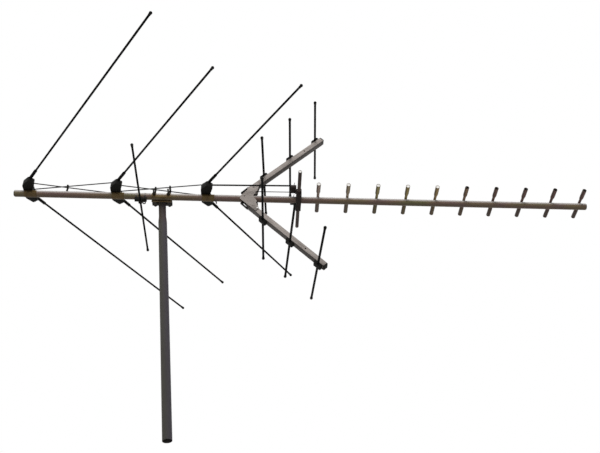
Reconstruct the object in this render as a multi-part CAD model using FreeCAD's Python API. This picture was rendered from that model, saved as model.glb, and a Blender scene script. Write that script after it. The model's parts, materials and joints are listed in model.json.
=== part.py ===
import FreeCAD, Part
import math
import os

# Outdoor television antenna on its mast, in millimetres.
# Part axes: origin at the centre of the mast's foot, +Z up the mast, +X towards the directors.
# The antenna is drawn in boom axes: x forward along the boom, y across it, z up, with the origin
# where the boom crosses the mast. One tilt then places it, because it hangs a little nose-down.
V = FreeCAD.Vector
ACROSS = V(0, 1, 0)
UP = V(0, 0, 1)
FORWARD = V(1, 0, 0)
SIDES = {"near": -1, "far": 1}
LEVELS = {"upper": 1, "lower": -1}

# Clearances between pieces
SEAT_GAP = 0.15
HOLE_GAP = 0.2
MAST_GAP = 0.3

# Mast: a steel tube whose upper end is swaged narrow
MAST_DIA = 31.75
MAST_WALL = 1.65
MAST_SWAGE_DIA = 27.3
MAST_SWAGE_BELOW = 75.0
MAST_TAPER_LENGTH = 25.0
MAST_BELOW_BOOM = 984.0
MAST_ABOVE_BOOM = 30.0

# Boom: a round aluminium tube with a plug in each end
BOOM_DIA = 25.4
BOOM_WALL = 1.3
BOOM_PAST_REAR_PAIR = 43.0
BOOM_PAST_DIRECTOR = 22.3
BOOM_TILT = 6.4
CAP_PROUD = 3.0
CAP_PLUG = 16.0

# Mast clamp: a channel on each side of the boom and a toothed jaw behind the mast
CLAMP_PLATE = 2.2
CLAMP_SADDLE_WEB = 2.5
CLAMP_LIP = 5.2
CLAMP_BEND = 3.0
CLAMP_EDGE = 10.5
CLAMP_FRONT_TOP = 6.5
CLAMP_BOLT_DIA = 6.35
CLAMP_BOLT_CLEAR = 10.2
CLAMP_BOLT_END = 23.0
CLAMP_NUT_FLATS = 11.1
CLAMP_NUT_HEIGHT = 5.6
CLAMP_HEAD_HEIGHT = 4.3
JAW_PLATE = 2.5
JAW_HEIGHT = 12.5
JAW_SADDLE_GAP = 2.0
JAW_WEB_GAP = 1.0
JAW_FIRST_TOOTH = 3.6
JAW_TOOTH_PITCH = 4.2
JAW_TOOTH_DEPTH = 1.2

# Swept rods: elements in pairs, each pair on one moulded insulator
SWEEP = 34.35
ROD_RISE = 0.8
ROD_DIA = 7.5
SLEEVE_FLATS = 10.5
SLEEVE_SHOWING = 45.0
REAR_PAIR_X = -504.0
MIDDLE_PAIR_X = -178.5
FRONT_PAIR_X = 160.0
REAR_ROD_LENGTH = 968.0
MIDDLE_ROD_LENGTH = 717.0
FRONT_ROD_LENGTH = 639.0

# Insulator housing, plan sizes from its own centre over the boom
INSULATOR_WRAP = 3.7
INSULATOR_OVER_ROD = 1.0
INSULATOR_BACK = 12.0
INSULATOR_FRONT = 22.0
INSULATOR_BACK_HALF = 36.0
INSULATOR_FRONT_HALF = 8.0
INSULATOR_ARM_REACH = 64.0
INSULATOR_ARM_WIDTH = 25.0
INSULATOR_CHAMFER = 3.0
YOKE_HEIGHT = 11.5
YOKE_BACK = 8.0
YOKE_FRONT = 18.0
YOKE_HALF = 34.0
ROD_MEET_BACK = 13.5
ROD_BEHIND_ARM = 3.6
ROD_ABOVE_BOOM = 19.3
SOCKET_DEPTH = 30.0

# Phasing wires, crossed between insulators and held by stand-offs on the boom
WIRE_DIA = 4.0
WIRE_ABOVE_ROD = 6.5
WIRE_CROSS_GAP = 2.4
WIRE_START_HALF = 20.5
WIRE_END_HALF = 27.0
GUIDE_AHEAD = 55.0
STANDOFF_FOOT = 13.0
STANDOFF_NECK = 5.0
STANDOFF_DEPTH = 8.0
STANDOFF_HEAD = 10.0
STANDOFF_HEAD_WALL = 2.3

# Straight rod under the boom, in a moulded clip
STRAIGHT_X = -77.0
STRAIGHT_HALF = 294.0
STRAIGHT_BELOW_BOOM = 11.3
CLIP_WRAP = 4.7
CLIP_CHEEK = 0.3
CLIP_WING = 8.0
CLIP_BORE_WALL = 3.0
CLIP_HALF = 22.5

# Corner reflector: two arms held by hub plates, with rods on their outer faces
CORNER_X = 294.0
CORNER_Z = 3.0
ARM_ANGLE = 45.0
ARM_BOOM_GAP = 1.6
ARM_PAST_ROD = 22.0
ARM_HEIGHT = 19.0
ARM_WALL = 1.5
ARM_CAP_FLANGE = 4.0
ARM_CAP_PLUG = 12.0
ARM_HOLE_DIA = 6.0
ARM_HOLE_FROM_END = 98.0
HUB_PLATE = 2.0
HUB_EDGE = 8.5
HUB_REACH = 96.0
HUB_NOTCH = 52.0
HUB_HORN_AHEAD = 66.0
HUB_HORN_UP = 26.0
STOP_BEFORE_ARM = 12.0
STOP_LENGTH = 38.0
STOP_HEIGHT = 6.5
STOP_WIDTH = 16.0
STOP_CHAMFER = 2.0
REFLECTOR_DIA = 8.5
REFLECTOR_HALF = 221.0
REFLECTOR_FIRST = 141.0
REFLECTOR_PITCH = 142.0
REFLECTOR_SKEW_ANGLE = {"upper": (-3.5, -2.9, -4.3), "lower": (-1.5, 3.8, 4.2)}
GRIP_LENGTH = 34.0
GRIP_WIDTH = 22.0
GRIP_OVER_ROD = 3.0
GRIP_CHAMFER = 2.5

# Driven dipole of the corner reflector, with its feed blocks
DIPOLE_X = 517.0
DIPOLE_HALF = 157.0
DIPOLE_TUBE_DIA = 13.5
DIPOLE_TUBE_WALL = 1.0
DIPOLE_BOX_WALL = 2.85
DIPOLE_BOX_OVER_BOOM = 2.65
DIPOLE_BOX_HALF = 50.0
DIPOLE_BOX_CHAMFER = 4.0
DIPOLE_ROOT_WALL = 13.15
BLOCK_LENGTH = 21.0
BLOCK_FROM_BOOM = 4.15
BLOCK_WIDTH = 33.0
BLOCK_HEIGHT = 13.0
BLOCK_OVER_BOX = 2.5
BLOCK_CHAMFER = 2.0
BLOCK_FOOT_LENGTH = 5.0
BLOCK_FOOT_WIDTH = 20.0
BLOCK_FOOT_DROP = 9.0
FEED_DIA = 6.0
FEED_START_HALF = 30.0
FEED_FROM_END = 8.0
FEED_SHORT = 2.0
STUB_DIA = 3.0
STUB_FROM_INNER = 4.0
STUB_FROM_BOTTOM = 2.5
STUB_TAIL = 6.0

# Directors: open tubes across the boom, squeezed to a low neck where each is riveted to it
DIRECTOR_COUNT = 10
DIRECTOR_FIRST_X = 590.5
DIRECTOR_PITCH = 111.8
DIRECTOR_HALF = 77.0
DIRECTOR_SIDES = 8
DIRECTOR_FLATS = 15.2
DIRECTOR_WALL = 1.1
DIRECTOR_BORE_DEPTH = 37.0
DIRECTOR_NECK_WIDTH = 10.5
DIRECTOR_NECK_HEIGHT = 8.9
DIRECTOR_NECK_HALF = 31.0
DIRECTOR_TAPER = 5.0

# Sizes that follow from the ones above
BOOM_R = BOOM_DIA / 2
BOOM_SEAT_R = BOOM_R + SEAT_GAP
DIRECTOR_XS = [DIRECTOR_FIRST_X + i * DIRECTOR_PITCH for i in range(DIRECTOR_COUNT)]
BOOM_BACK = REAR_PAIR_X - BOOM_PAST_REAR_PAIR
BOOM_FRONT = DIRECTOR_XS[-1] + BOOM_PAST_DIRECTOR

SWAGE_R = MAST_SWAGE_DIA / 2
SADDLE_FACE = BOOM_SEAT_R + CLAMP_SADDLE_WEB
MAST_OFFSET = SADDLE_FACE + MAST_GAP + SWAGE_R
FRONT_PLATE_FACE = BOOM_SEAT_R + CLAMP_PLATE
JAW_FREE_EDGE = SADDLE_FACE + JAW_SADDLE_GAP
JAW_INNER_FACE = MAST_OFFSET + SWAGE_R + JAW_WEB_GAP
JAW_OUTER_FACE = JAW_INNER_FACE + JAW_PLATE
CLAMP_BOLT_X = SWAGE_R + CLAMP_BOLT_CLEAR + CLAMP_BOLT_DIA / 2
CLAMP_HALF = CLAMP_BOLT_X + CLAMP_EDGE
CLAMP_HOLE = CLAMP_BOLT_DIA + 2 * HOLE_GAP

SWEEP_RAD = math.radians(SWEEP)
RISE_RAD = math.radians(ROD_RISE)
PAIRS = {
    "rear": {"x": REAR_PAIR_X, "length": REAR_ROD_LENGTH},
    "middle": {"x": MIDDLE_PAIR_X, "length": MIDDLE_ROD_LENGTH},
    "front": {"x": FRONT_PAIR_X, "length": FRONT_ROD_LENGTH},
}
ROD_HEIGHT = BOOM_R + ROD_ABOVE_BOOM
INSULATOR_BOTTOM = BOOM_R - INSULATOR_WRAP
INSULATOR_TOP = ROD_HEIGHT + INSULATOR_OVER_ROD

WIRE_HEIGHT = ROD_HEIGHT + WIRE_ABOVE_ROD
WIRE_LEVEL_STEP = (WIRE_DIA + WIRE_CROSS_GAP) / 2
WIRE_SLOT = WIRE_DIA + 2 * HOLE_GAP
STANDOFF_LOW = WIRE_HEIGHT - WIRE_LEVEL_STEP - WIRE_SLOT / 2 - STANDOFF_HEAD_WALL
STANDOFF_HIGH = WIRE_HEIGHT + WIRE_LEVEL_STEP + WIRE_SLOT / 2 + STANDOFF_HEAD_WALL

STRAIGHT_Z = -(BOOM_R + STRAIGHT_BELOW_BOOM)
CLIP_BARREL_R = ROD_DIA / 2 + SEAT_GAP + CLIP_BORE_WALL
CLIP_WING_Z = -(BOOM_SEAT_R + CLIP_WING)

ARM_RAD = math.radians(ARM_ANGLE)
ARM_TOP = ARM_HEIGHT / 2
ARM_DROP = BOOM_R + ARM_BOOM_GAP + CORNER_Z + ARM_TOP * math.cos(ARM_RAD)
ARM_START = ARM_DROP / math.sin(ARM_RAD)
REFLECTOR_PLACES = [REFLECTOR_FIRST + i * REFLECTOR_PITCH for i in range(3)]
ARM_END = REFLECTOR_PLACES[-1] + ARM_PAST_ROD
STOP_START = ARM_START - STOP_BEFORE_ARM
REFLECTOR_OFF = ARM_TOP + SEAT_GAP + REFLECTOR_DIA / 2
REFLECTOR_SLOT = REFLECTOR_DIA + 2 * SEAT_GAP

DIPOLE_BOX_WIDTH = DIPOLE_TUBE_DIA + 2 * (SEAT_GAP + DIPOLE_BOX_WALL)
DIPOLE_BOX_TOP = BOOM_SEAT_R + DIPOLE_BOX_OVER_BOOM
DIPOLE_ROOT = BOOM_SEAT_R + DIPOLE_ROOT_WALL
BLOCK_FRONT = DIPOLE_X - DIPOLE_BOX_WIDTH / 2
BLOCK_BACK = BLOCK_FRONT - BLOCK_LENGTH
BLOCK_INNER = BOOM_SEAT_R + BLOCK_FROM_BOOM
BLOCK_OUTER = BLOCK_INNER + BLOCK_WIDTH
BLOCK_LOW = DIPOLE_BOX_TOP + BLOCK_OVER_BOX
BLOCK_TOP = BLOCK_LOW + BLOCK_HEIGHT

DIRECTOR_TOP = BOOM_R + DIRECTOR_NECK_HEIGHT
DIRECTOR_AXIS_Z = DIRECTOR_TOP - DIRECTOR_FLATS / 2
CORNER_CUT_SHARE = (1 - math.tan(math.pi / DIRECTOR_SIDES)) / 2


# Helpers

def rod(start, end, dia):
    """Solid round rod from one point to another."""
    return Part.makeCylinder(dia / 2, start.distanceToPoint(end), start, end - start)


def turned(profile, base, direction):
    """Solid of revolution: profile points are (distance along the axis, radius)."""
    solid = flat([V(r, 0, s) for s, r in profile]).revolve(V(0, 0, 0), UP, 360)
    solid.Placement = FreeCAD.Placement(base, FreeCAD.Rotation(UP, direction))
    return solid


def flat(points):
    """Flat face inside an outline of points."""
    return Part.Face(Part.makePolygon(points + points[:1]))


def raised(points, lift):
    """Flat outline of points carried along a vector."""
    return flat(points).extrude(lift)


def skinned(sections):
    """Solid with flat sides through a row of sections whose edges stay parallel."""
    faces = [flat(sections[0]), flat(sections[-1])]
    for behind, ahead in zip(sections, sections[1:]):
        for i in range(len(behind)):
            faces.append(flat([behind[i - 1], behind[i], ahead[i], ahead[i - 1]]))
    return Part.Solid(Part.Shell(faces))


def plan_prism(points, low, high):
    """Outline in x, y raised between two heights."""
    return raised([V(x, y, low) for x, y in points], UP * (high - low))


def side_prism(points, near, far):
    """Outline in x, z carried across the boom."""
    return raised([V(x, near, z) for x, z in points], ACROSS * (far - near))


def long_prism(points, back, front):
    """Section in y, z carried along the boom."""
    return raised([V(back, y, z) for y, z in points], FORWARD * (front - back))


def edges_along(solid, direction, wanted=None):
    """Straight edges that run along a direction, kept where wanted(middle) is true."""
    edges = []
    for edge in solid.Edges:
        straight = edge.Curve.TypeId == "Part::GeomLine"
        if straight and abs(edge.tangentAt(edge.FirstParameter).dot(direction)) > 0.999:
            if wanted is None or wanted(edge.CenterOfMass):
                edges.append(edge)
    return edges


def drilled(solid, base, direction, dia, length):
    return solid.cut(Part.makeCylinder(dia / 2, length, base, direction))


def bar(sides, flats, base, direction, length):
    """Straight bar of regular section, by its number of sides and its width across flats."""
    radius = flats / 2 / math.cos(math.pi / sides)
    turns = [math.pi * (2 * i + 1) / sides for i in range(sides)]
    solid = raised([V(radius * math.cos(t), radius * math.sin(t), 0) for t in turns], UP * length)
    solid.Placement = FreeCAD.Placement(base, FreeCAD.Rotation(UP, direction))
    return solid


def on_mast(shape):
    """Carry a piece from boom axes to the part's axes."""
    placed = shape.copy()
    placed.rotate(V(0, 0, 0), ACROSS, BOOM_TILT)
    placed.translate(V(0, -MAST_OFFSET, MAST_BELOW_BOOM))
    return placed


def save(name, *shapes):
    shape = shapes[0] if len(shapes) == 1 else Part.makeCompound(list(shapes))
    shape.exportStep("parts/" + name + ".step")


def save_antenna(name, *shapes):
    save(name, *[on_mast(shape) for shape in shapes])


# Mast

def mast_tube():
    wide = MAST_DIA / 2
    taper_top = MAST_BELOW_BOOM - MAST_SWAGE_BELOW
    taper_foot = taper_top - MAST_TAPER_LENGTH
    top = MAST_BELOW_BOOM + MAST_ABOVE_BOOM
    outside = [(0, wide), (taper_foot, wide), (taper_top, SWAGE_R), (top, SWAGE_R)]
    inside = [(z, r - MAST_WALL) for z, r in reversed(outside)]
    return turned(outside + inside, V(0, 0, 0), UP)


# Boom

def boom_tube():
    length = BOOM_FRONT - BOOM_BACK
    back = V(BOOM_BACK, 0, 0)
    tube = Part.makeCylinder(BOOM_R, length, back, FORWARD)
    tube = drilled(tube, back, FORWARD, BOOM_DIA - 2 * BOOM_WALL, length)
    for x in (-CLAMP_BOLT_X, CLAMP_BOLT_X):
        tube = tube.cut(bar(4, CLAMP_HOLE, V(x, -BOOM_R, 0), ACROSS, BOOM_DIA))
    return tube


def boom_cap(end_x, outward):
    """Plug inside the tube's end that stands a little proud of it."""
    end = V(end_x, 0, 0)
    dia = BOOM_DIA - 2 * (BOOM_WALL + SEAT_GAP)
    return rod(end - outward * CAP_PLUG, end + outward * CAP_PROUD, dia)


# Mast clamp

def channel(web_out, web_in, lip, half_out, half_in, side):
    """Pressed channel along the boom, with square bolt holes in the web on its outer side."""
    section = [(lip, half_out), (web_out, half_out), (web_out, -half_out), (lip, -half_out)]
    section += [(lip, -half_in), (web_in, -half_in), (web_in, half_in), (lip, half_in)]
    solid = long_prism([(side * y, z) for y, z in section], -CLAMP_HALF, CLAMP_HALF)
    outer_bends = edges_along(solid, FORWARD, lambda middle: side * middle.y > web_out - SEAT_GAP)
    solid = solid.makeFillet(CLAMP_BEND, outer_bends)
    for x in (-CLAMP_BOLT_X, CLAMP_BOLT_X):
        solid = solid.cut(bar(4, CLAMP_HOLE, V(x, 0, 0), ACROSS * side, 2 * web_out))
    return solid


def clamp_front_plate():
    """Pressing under the near side of the boom; its upper edge stops just above the bolts."""
    lip = BOOM_R - CLAMP_LIP
    plate = channel(FRONT_PLATE_FACE, BOOM_SEAT_R, lip, FRONT_PLATE_FACE, BOOM_SEAT_R, -1)
    above = [(-BOOM_DIA, CLAMP_FRONT_TOP), (0, CLAMP_FRONT_TOP), (0, BOOM_DIA), (-BOOM_DIA, BOOM_DIA)]
    return plate.cut(long_prism(above, -CLAMP_HALF, CLAMP_HALF))


def clamp_mast_saddle():
    lip = BOOM_R - CLAMP_LIP
    return channel(SADDLE_FACE, BOOM_SEAT_R, lip, BOOM_SEAT_R + CLAMP_PLATE, BOOM_SEAT_R, 1)


def clamp_mast_jaw():
    """Channel behind the mast; its two lips have a toothed vee that grips the tube."""
    half = JAW_HEIGHT / 2
    jaw = channel(JAW_OUTER_FACE, JAW_INNER_FACE, JAW_FREE_EDGE, half, half - JAW_PLATE, 1)
    grip = SWAGE_R + MAST_GAP
    apex = MAST_OFFSET + math.hypot(grip, grip)
    depth = apex - JAW_FREE_EDGE
    wall = [(0, apex)]
    for i in range(int((depth - JAW_FIRST_TOOTH) / JAW_TOOTH_PITCH)):
        tip = JAW_FIRST_TOOTH + i * JAW_TOOTH_PITCH
        root = tip + JAW_TOOTH_PITCH
        wall.append((tip, apex - tip))
        wall.append((root + JAW_TOOTH_DEPTH, apex - root))
    mouth = depth + JAW_TOOTH_PITCH
    wall.append((mouth, apex - mouth))
    outline = wall + [(-x, y) for x, y in reversed(wall[1:])]
    vee = plan_prism(outline, -JAW_HEIGHT, JAW_HEIGHT)
    vee.rotate(V(0, 0, 0), ACROSS, -BOOM_TILT)
    beside_mast = [(0, JAW_HEIGHT), (JAW_INNER_FACE, JAW_HEIGHT)]
    beside_mast += [(y, -z) for y, z in reversed(beside_mast)]
    return jaw.cut(vee.common(long_prism(beside_mast, -CLAMP_HALF, CLAMP_HALF)))


def clamp_bolts():
    """Two hexagon bolts from behind the jaw, each with a nut on the front plate."""
    pieces = []
    for x in (-CLAMP_BOLT_X, CLAMP_BOLT_X):
        seat = V(x, JAW_OUTER_FACE, 0)
        nut_end = V(x, -FRONT_PLATE_FACE - CLAMP_NUT_HEIGHT, 0)
        head = bar(6, CLAMP_NUT_FLATS, seat, ACROSS, CLAMP_HEAD_HEIGHT)
        pieces.append(head.fuse(rod(seat, nut_end - ACROSS * CLAMP_BOLT_END, CLAMP_BOLT_DIA)))
        nut = bar(6, CLAMP_NUT_FLATS, nut_end, ACROSS, CLAMP_NUT_HEIGHT)
        pieces.append(drilled(nut, nut_end, ACROSS, CLAMP_HOLE, CLAMP_NUT_HEIGHT))
    return pieces


# Swept rods and their insulators

def rod_axis(pair, side):
    """Where a pair's rod axis starts over the boom, and its direction."""
    behind = V(-math.cos(SWEEP_RAD), side * math.sin(SWEEP_RAD), 0)
    start = V(pair["x"] - ROD_MEET_BACK, 0, ROD_HEIGHT) + behind * ROD_BEHIND_ARM
    level = math.cos(RISE_RAD)
    along = V(math.sin(SWEEP_RAD) * level, side * math.cos(SWEEP_RAD) * level, math.sin(RISE_RAD))
    return start, along


def swept_rod(pair, side):
    """Rod with a hexagon sleeve crimped on its root, which enters the insulator's socket."""
    start, along = rod_axis(pair, side)
    foot = start + along * (INSULATOR_ARM_REACH - SOCKET_DEPTH)
    sleeve = bar(6, SLEEVE_FLATS, foot, along, SOCKET_DEPTH + SLEEVE_SHOWING)
    return sleeve.fuse(rod(foot, start + along * pair["length"], ROD_DIA)).removeSplitter()


def insulator_outline(x):
    """Plan of the housing: a flat back and two arms that point along the rods."""
    along = (math.sin(SWEEP_RAD), math.cos(SWEEP_RAD))
    end = (along[0] * INSULATOR_ARM_REACH - ROD_MEET_BACK, along[1] * INSULATOR_ARM_REACH)
    half = INSULATOR_ARM_WIDTH / 2
    back_corner = (end[0] - along[1] * half, end[1] + along[0] * half)
    front_corner = (end[0] + along[1] * half, end[1] - along[0] * half)
    side = [(INSULATOR_FRONT, INSULATOR_FRONT_HALF), front_corner, back_corner]
    side.append((-INSULATOR_BACK, INSULATOR_BACK_HALF))
    points = side + [(px, -py) for px, py in reversed(side)]
    return [(x + px, py) for px, py in points]


def insulator_blank(pair):
    """The housing's outer form, before its sockets and the groove for the boom: a flat block whose
    two arms carry the rods, and a yoke across the rods' roots."""
    block = plan_prism(insulator_outline(pair["x"]), INSULATOR_BOTTOM, INSULATOR_TOP)
    corners = edges_along(block, UP, lambda middle: abs(middle.y) > INSULATOR_FRONT_HALF + SEAT_GAP)
    block = block.makeChamfer(INSULATOR_CHAMFER, corners)
    back = pair["x"] - YOKE_BACK
    front = pair["x"] + YOKE_FRONT
    outline = [(back, -YOKE_HALF), (front, -YOKE_HALF), (front, YOKE_HALF), (back, YOKE_HALF)]
    yoke = plan_prism(outline, INSULATOR_TOP, INSULATOR_TOP + YOKE_HEIGHT)
    return block.fuse(yoke.makeChamfer(INSULATOR_CHAMFER, edges_along(yoke, UP)))


def insulator(pair):
    """Moulded housing astride the boom; a hexagon socket under the yoke holds each rod."""
    body = insulator_blank(pair)
    for side in SIDES.values():
        start, along = rod_axis(pair, side)
        foot = start + along * (INSULATOR_ARM_REACH - SOCKET_DEPTH)
        body = body.cut(bar(6, SLEEVE_FLATS + 2 * SEAT_GAP, foot, along, 2 * SOCKET_DEPTH))
    back = V(pair["x"] - INSULATOR_ARM_REACH, 0, 0)
    return drilled(body, back, FORWARD, 2 * BOOM_SEAT_R, 2 * INSULATOR_ARM_REACH)


# Phasing wires, feed lines and stand-offs

def wire_line(behind, ahead, side):
    """Ends of a wire that leaves one insulator on one side and reaches the next on the other."""
    level = WIRE_HEIGHT + side * WIRE_LEVEL_STEP
    start_x = PAIRS[behind]["x"] + YOKE_FRONT
    end_x = PAIRS[ahead]["x"] - YOKE_BACK
    return V(start_x, side * WIRE_START_HALF, level), V(end_x, -side * WIRE_END_HALF, level)


def crossing_x(behind, ahead):
    start, end = wire_line(behind, ahead, 1)
    share = WIRE_START_HALF / (WIRE_START_HALF + WIRE_END_HALF)
    return start.x + share * (end.x - start.x)


def trimmed_rod(start, end, dia, *walls):
    """Rod between two faces, drawn too long and cut flush with the walls that it meets."""
    extra = (end - start).normalize() * (2 * dia)
    piece = rod(start - extra, end + extra, dia)
    for wall in walls:
        piece = piece.cut(wall)
    return piece


def phase_wire(behind, ahead, side):
    start, end = wire_line(behind, ahead, side)
    walls = [insulator_blank(PAIRS[behind]), insulator_blank(PAIRS[ahead])]
    return trimmed_rod(start, end, WIRE_DIA, *walls)


def feed_line(side):
    """Straight feeder from the front insulator's yoke to the top of the dipole's feed block."""
    start = V(PAIRS["front"]["x"] + YOKE_FRONT, side * FEED_START_HALF, WIRE_HEIGHT)
    end_z = BLOCK_TOP + SEAT_GAP + FEED_DIA / 2
    end = V(BLOCK_FRONT - FEED_SHORT, side * (BLOCK_OUTER - FEED_FROM_END), end_z)
    behind = start - (end - start).normalize() * YOKE_FRONT
    return rod(behind, end, FEED_DIA).cut(insulator_blank(PAIRS["front"]))


def stub_wire():
    """Thin matching wire from the hub's upper horn to the near feed block."""
    side = SIDES["near"]
    plate_face = BOOM_SEAT_R + HUB_PLATE + SEAT_GAP + STUB_DIA / 2
    start_z = CORNER_Z + HUB_HORN_UP - STUB_TAIL
    start = V(CORNER_X + HUB_HORN_AHEAD - STUB_TAIL, side * plate_face, start_z)
    inside_x = (BLOCK_BACK + BLOCK_FRONT) / 2
    end = V(inside_x, side * (BLOCK_INNER + STUB_FROM_INNER), BLOCK_LOW + STUB_FROM_BOTTOM)
    return rod(start, end, STUB_DIA).cut(feed_block(side))


def wire_slot(start, end):
    """Square channel along a level wire."""
    beside = (end - start).cross(UP).normalize() * (WIRE_SLOT / 2)
    low = UP * (-WIRE_SLOT / 2)
    corners = [start + beside, end + beside, end - beside, start - beside]
    return raised([corner + low for corner in corners], UP * WIRE_SLOT)


def standoff(x, half_across, behind, ahead):
    """Tapered moulded post on the boom; channels in its head carry the two wires."""
    foot = STANDOFF_FOOT / 2
    neck = STANDOFF_NECK / 2
    outline = [(x - foot, 0), (x + foot, 0), (x + foot, BOOM_R), (x + neck, STANDOFF_LOW)]
    outline += [(x - neck, STANDOFF_LOW), (x - foot, BOOM_R)]
    post = side_prism(outline, -STANDOFF_DEPTH / 2, STANDOFF_DEPTH / 2)
    half = STANDOFF_HEAD / 2
    corners = [(x - half, -half_across), (x + half, -half_across)]
    corners += [(x + half, half_across), (x - half, half_across)]
    post = post.fuse(plan_prism(corners, STANDOFF_LOW, STANDOFF_HIGH))
    post = drilled(post, V(x - STANDOFF_FOOT, 0, 0), FORWARD, 2 * BOOM_SEAT_R, 2 * STANDOFF_FOOT)
    for side in SIDES.values():
        post = post.cut(wire_slot(*wire_line(behind, ahead, side)))
    return post.removeSplitter()


def wire_standoffs():
    """A post at each crossing and a wider guide just past the front one."""
    half = STANDOFF_HEAD / 2
    rear = crossing_x("rear", "middle")
    front = crossing_x("middle", "front")
    posts = [standoff(rear, half, "rear", "middle"), standoff(front, half, "middle", "front")]
    wire_end = PAIRS["front"]["x"] - YOKE_BACK
    spread = WIRE_END_HALF * GUIDE_AHEAD / (wire_end - front)
    posts.append(standoff(front + GUIDE_AHEAD, spread + half, "middle", "front"))
    return posts


# Straight rod under the boom

def straight_rod():
    middle = V(STRAIGHT_X, 0, STRAIGHT_Z)
    return rod(middle - ACROSS * STRAIGHT_HALF, middle + ACROSS * STRAIGHT_HALF, ROD_DIA)


def straight_rod_clip():
    """Moulded saddle under the boom: a square bore for the rod between two wings."""
    top = CLIP_WRAP - BOOM_R
    bottom = STRAIGHT_Z - CLIP_BARREL_R
    side = [(CLIP_HALF, top), (CLIP_HALF, CLIP_WING_Z), (CLIP_BARREL_R, CLIP_WING_Z)]
    side.append((CLIP_BARREL_R, bottom))
    outline = side + [(-x, z) for x, z in reversed(side)]
    wide = BOOM_R + CLIP_CHEEK
    clip = side_prism([(STRAIGHT_X + x, z) for x, z in outline], -wide, wide)
    foot_edges = edges_along(clip, ACROSS, lambda p: p.z < CLIP_WING_Z - SEAT_GAP)
    clip = clip.makeChamfer(CLIP_BORE_WALL / 2, foot_edges)
    back = V(STRAIGHT_X - CLIP_HALF, 0, 0)
    clip = drilled(clip, back, FORWARD, 2 * BOOM_SEAT_R, 2 * CLIP_HALF)
    bore_end = V(STRAIGHT_X, -wide, STRAIGHT_Z)
    return clip.cut(bar(4, ROD_DIA + 2 * SEAT_GAP, bore_end, ACROSS, 2 * wide))


# Corner reflector

def arm_axes(level):
    """Direction of an arm and of its outer face, in the boom's upright plane."""
    sign = LEVELS[level]
    along = V(math.cos(ARM_RAD), 0, sign * math.sin(ARM_RAD))
    outward = V(-math.sin(ARM_RAD), 0, sign * math.cos(ARM_RAD))
    return along, outward


def arm_point(level, s, n):
    """Point at a distance along an arm and off its axis."""
    along, outward = arm_axes(level)
    return V(CORNER_X, 0, CORNER_Z) + along * s + outward * n


def arm_block(level, s_low, s_high, n_low, n_high, half):
    """Block in an arm's own directions."""
    corners = [(s_low, n_low), (s_high, n_low), (s_high, n_high), (s_low, n_high)]
    points = [arm_point(level, s, n) for s, n in corners]
    return side_prism([(p.x, p.z) for p in points], -half, half)


def corner_arm(level):
    """Rectangular tube with one small hole in its near wall."""
    arm = arm_block(level, ARM_START, ARM_END, -ARM_TOP, ARM_TOP, BOOM_R)
    inner = ARM_TOP - ARM_WALL
    arm = arm.cut(arm_block(level, ARM_START, ARM_END, -inner, inner, BOOM_R - ARM_WALL))
    hole = arm_point(level, ARM_END - ARM_HOLE_FROM_END, 0) - ACROSS * BOOM_R
    return drilled(arm, hole, ACROSS, ARM_HOLE_DIA, BOOM_R)


def arm_cap(level):
    """Plug in an arm's outer end, under a flange with eased edges."""
    flange = arm_block(level, ARM_END, ARM_END + ARM_CAP_FLANGE, -ARM_TOP, ARM_TOP, BOOM_R)
    along, outward = arm_axes(level)
    flange = flange.makeChamfer(ARM_CAP_FLANGE / 3, edges_along(flange, along))
    inner = ARM_TOP - ARM_WALL - SEAT_GAP
    half = BOOM_R - ARM_WALL - SEAT_GAP
    return flange.fuse(arm_block(level, ARM_END - ARM_CAP_PLUG, ARM_END, -inner, inner, half))


def hub_plate(side):
    """Chevron plate that ties the boom and both arms together."""
    upper = [(CORNER_X + HUB_HORN_AHEAD, CORNER_Z + HUB_HORN_UP)]
    for s, n in ((HUB_REACH, -HUB_EDGE), (HUB_REACH, HUB_EDGE), (HUB_EDGE, HUB_EDGE)):
        point = arm_point("upper", s, n)
        upper.append((point.x, point.z))
    lower = [(x, 2 * CORNER_Z - z) for x, z in reversed(upper)]
    outline = [(CORNER_X + HUB_NOTCH, CORNER_Z)] + upper + lower
    return side_prism(outline, side * BOOM_SEAT_R, side * (BOOM_SEAT_R + HUB_PLATE))


def arm_stop(level):
    """Plastic block on the outer face of an arm, close to the hub plates."""
    high = ARM_TOP + STOP_HEIGHT
    stop = arm_block(level, STOP_START, STOP_START + STOP_LENGTH, ARM_TOP, high, STOP_WIDTH / 2)
    along, outward = arm_axes(level)
    ends = edges_along(stop, ACROSS, lambda p: (p - arm_point(level, 0, high)).dot(outward) > -SEAT_GAP)
    return stop.makeChamfer(STOP_CHAMFER, ends)


def reflector_axis(level, index):
    """Middle of a reflector rod and its direction from the near end to the far end."""
    along, outward = arm_axes(level)
    skew = math.radians(REFLECTOR_SKEW_ANGLE[level][index])
    direction = ACROSS * math.cos(skew) - along * math.sin(skew)
    return arm_point(level, REFLECTOR_PLACES[index], REFLECTOR_OFF), direction


def reflector_rod(level, index):
    middle, direction = reflector_axis(level, index)
    half = direction * REFLECTOR_HALF
    return rod(middle - half, middle + half, REFLECTOR_DIA)


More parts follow.
